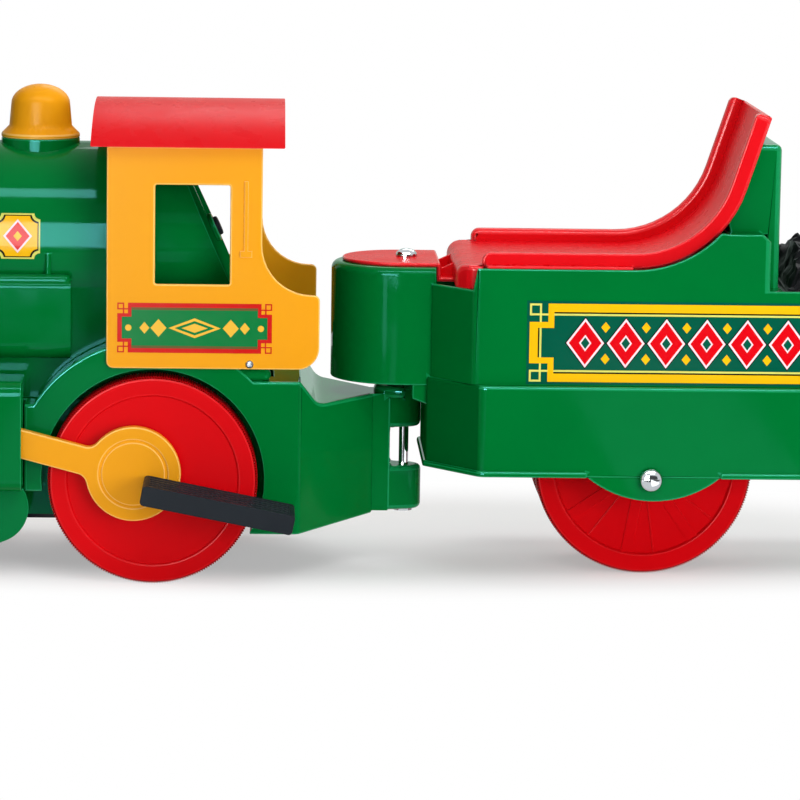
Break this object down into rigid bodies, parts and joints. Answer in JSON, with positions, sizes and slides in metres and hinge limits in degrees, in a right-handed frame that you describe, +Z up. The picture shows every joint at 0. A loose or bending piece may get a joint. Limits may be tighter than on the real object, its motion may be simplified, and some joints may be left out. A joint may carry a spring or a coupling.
{
  "type": "ride-on toy train",
  "caption": "Battery ride-on toy train: a locomotive with cab, crank rods and foot pedals, hinged to a tender that carries the moulded seat and a coal bin.",
  "frame": {"origin": "middle of the whole train on the floor", "axes": "+X towards the back of the tender, -Y the left side of the train, +Z up"},
  "size_m": [1.19, 0.444, 0.545],
  "materials": {
    "green_shell": "glossy moulded",
    "yellow_shell": "glossy moulded",
    "red_shell": "glossy moulded",
    "black_plastic": "satin",
    "steel": "bright",
    "chrome": "polished",
    "nylon": "plain",
    "brass": "machined",
    "lens": "clear"
  },
  "bodies": {
    "locomotive": {"loco_frame": "green_shell", "floor_plate": "black_plastic", "floor_screws": "steel", "boiler_shell": "green_shell", "smokebox_front": "black_plastic", "smokebox_door": "yellow_shell", "headlight": "yellow_shell", "headlight_lens": "lens", "smokestack": "black_plastic", "steam_dome": "yellow_shell", "pilot": "red_shell", "cylinder_left": "green_shell", "cylinder_right": "green_shell", "cab_left": "yellow_shell", "cab_right": "yellow_shell", "cab_front": "yellow_shell", "cab_roof": "red_shell", "cab_screws": "steel", "button_bezel": "green_shell", "start_switch": "black_plastic", "battery": "black_plastic", "motor": "steel", "gearbox_left": "black_plastic", "gearbox_right": "black_plastic", "idler_pin": "steel", "axle_bushes": "black_plastic", "front_axle": "steel", "front_caps": "chrome", "turning_washer": "black_plastic", "hinge_pin": "steel", "pin_caps": "chrome"},
    "tender": {"tender_body": "green_shell", "seat": "red_shell", "tender_axle": "steel", "tender_spacers": "black_plastic", "tender_caps": "chrome"},
    "coal": {"coal_cover": "black_plastic"},
    "drive": {"drive_axle": "steel", "axle_gear": "nylon", "drive_wheel_left": "red_shell", "drive_wheel_right": "red_shell"},
    "left_rod": {"rod_left": "yellow_shell", "pedal_left": "black_plastic"},
    "right_rod": {"rod_right": "yellow_shell", "pedal_right": "black_plastic"},
    "idler": {"idler_gear": "nylon"},
    "rotor": {"motor_pinion": "brass"},
    "button": {"start_button": "black_plastic"},
    "front_left": {"front_wheel_left": "red_shell"},
    "front_right": {"front_wheel_right": "red_shell"},
    "tender_left": {"tender_wheel_left": "red_shell"},
    "tender_right": {"tender_wheel_right": "red_shell"}
  },
  "joints": [
    {"name": "tender_yaw", "type": "hinge", "parent": "locomotive", "child": "tender", "pos_m": [0.05, 0, 0.19], "axis": [0, 0, 1], "range_deg": [-35, 35]},
    {"name": "coal_lift", "type": "slide", "parent": "tender", "child": "coal", "axis": [0, 0, 1], "range_m": [0, 0.04]},
    {"name": "drive_spin", "type": "hinge", "parent": "locomotive", "child": "drive", "pos_m": [-0.206, 0, 0.105], "axis": [0, 1, 0], "continuous": true},
    {"name": "rod_left_pivot", "type": "hinge", "parent": "drive", "child": "left_rod", "pos_m": [-0.22503, -0.15, 0.11388], "axis": [0, 1, 0], "continuous": true},
    {"name": "rod_right_pivot", "type": "hinge", "parent": "drive", "child": "right_rod", "pos_m": [-0.22503, 0.15, 0.11388], "axis": [0, 1, 0], "continuous": true},
    {"name": "idler_spin", "type": "hinge", "parent": "locomotive", "child": "idler", "pos_m": [-0.24497, 0, 0.1275], "axis": [0, 1, 0], "continuous": true},
    {"name": "rotor_spin", "type": "hinge", "parent": "locomotive", "child": "rotor", "pos_m": [-0.28312, 0, 0.13561], "axis": [0, 1, 0], "continuous": true},
    {"name": "front_left_spin", "type": "hinge", "parent": "locomotive", "child": "front_left", "pos_m": [-0.42, 0, 0.045], "axis": [0, 1, 0], "continuous": true},
    {"name": "front_right_spin", "type": "hinge", "parent": "locomotive", "child": "front_right", "pos_m": [-0.42, 0, 0.045], "axis": [0, 1, 0], "continuous": true},
    {"name": "tender_left_spin", "type": "hinge", "parent": "tender", "child": "tender_left", "pos_m": [0.294, 0, 0.111], "axis": [0, 1, 0], "continuous": true},
    {"name": "tender_right_spin", "type": "hinge", "parent": "tender", "child": "tender_right", "pos_m": [0.294, 0, 0.111], "axis": [0, 1, 0], "continuous": true},
    {"name": "button_press", "type": "slide", "parent": "locomotive", "child": "button", "axis": [-0.9114, 0, -0.4115], "range_m": [0, 0.004], "stiffness_N_per_m": 500, "springref_m": -0.004}
  ],
  "couplings": [
    {"joint": "rod_left_pivot", "follows": "drive_spin", "ratio": -1},
    {"joint": "rod_right_pivot", "follows": "drive_spin", "ratio": -1},
    {"joint": "idler_spin", "follows": "drive_spin", "ratio": -3.2857},
    {"joint": "rotor_spin", "follows": "drive_spin", "ratio": 10.952}
  ]
}
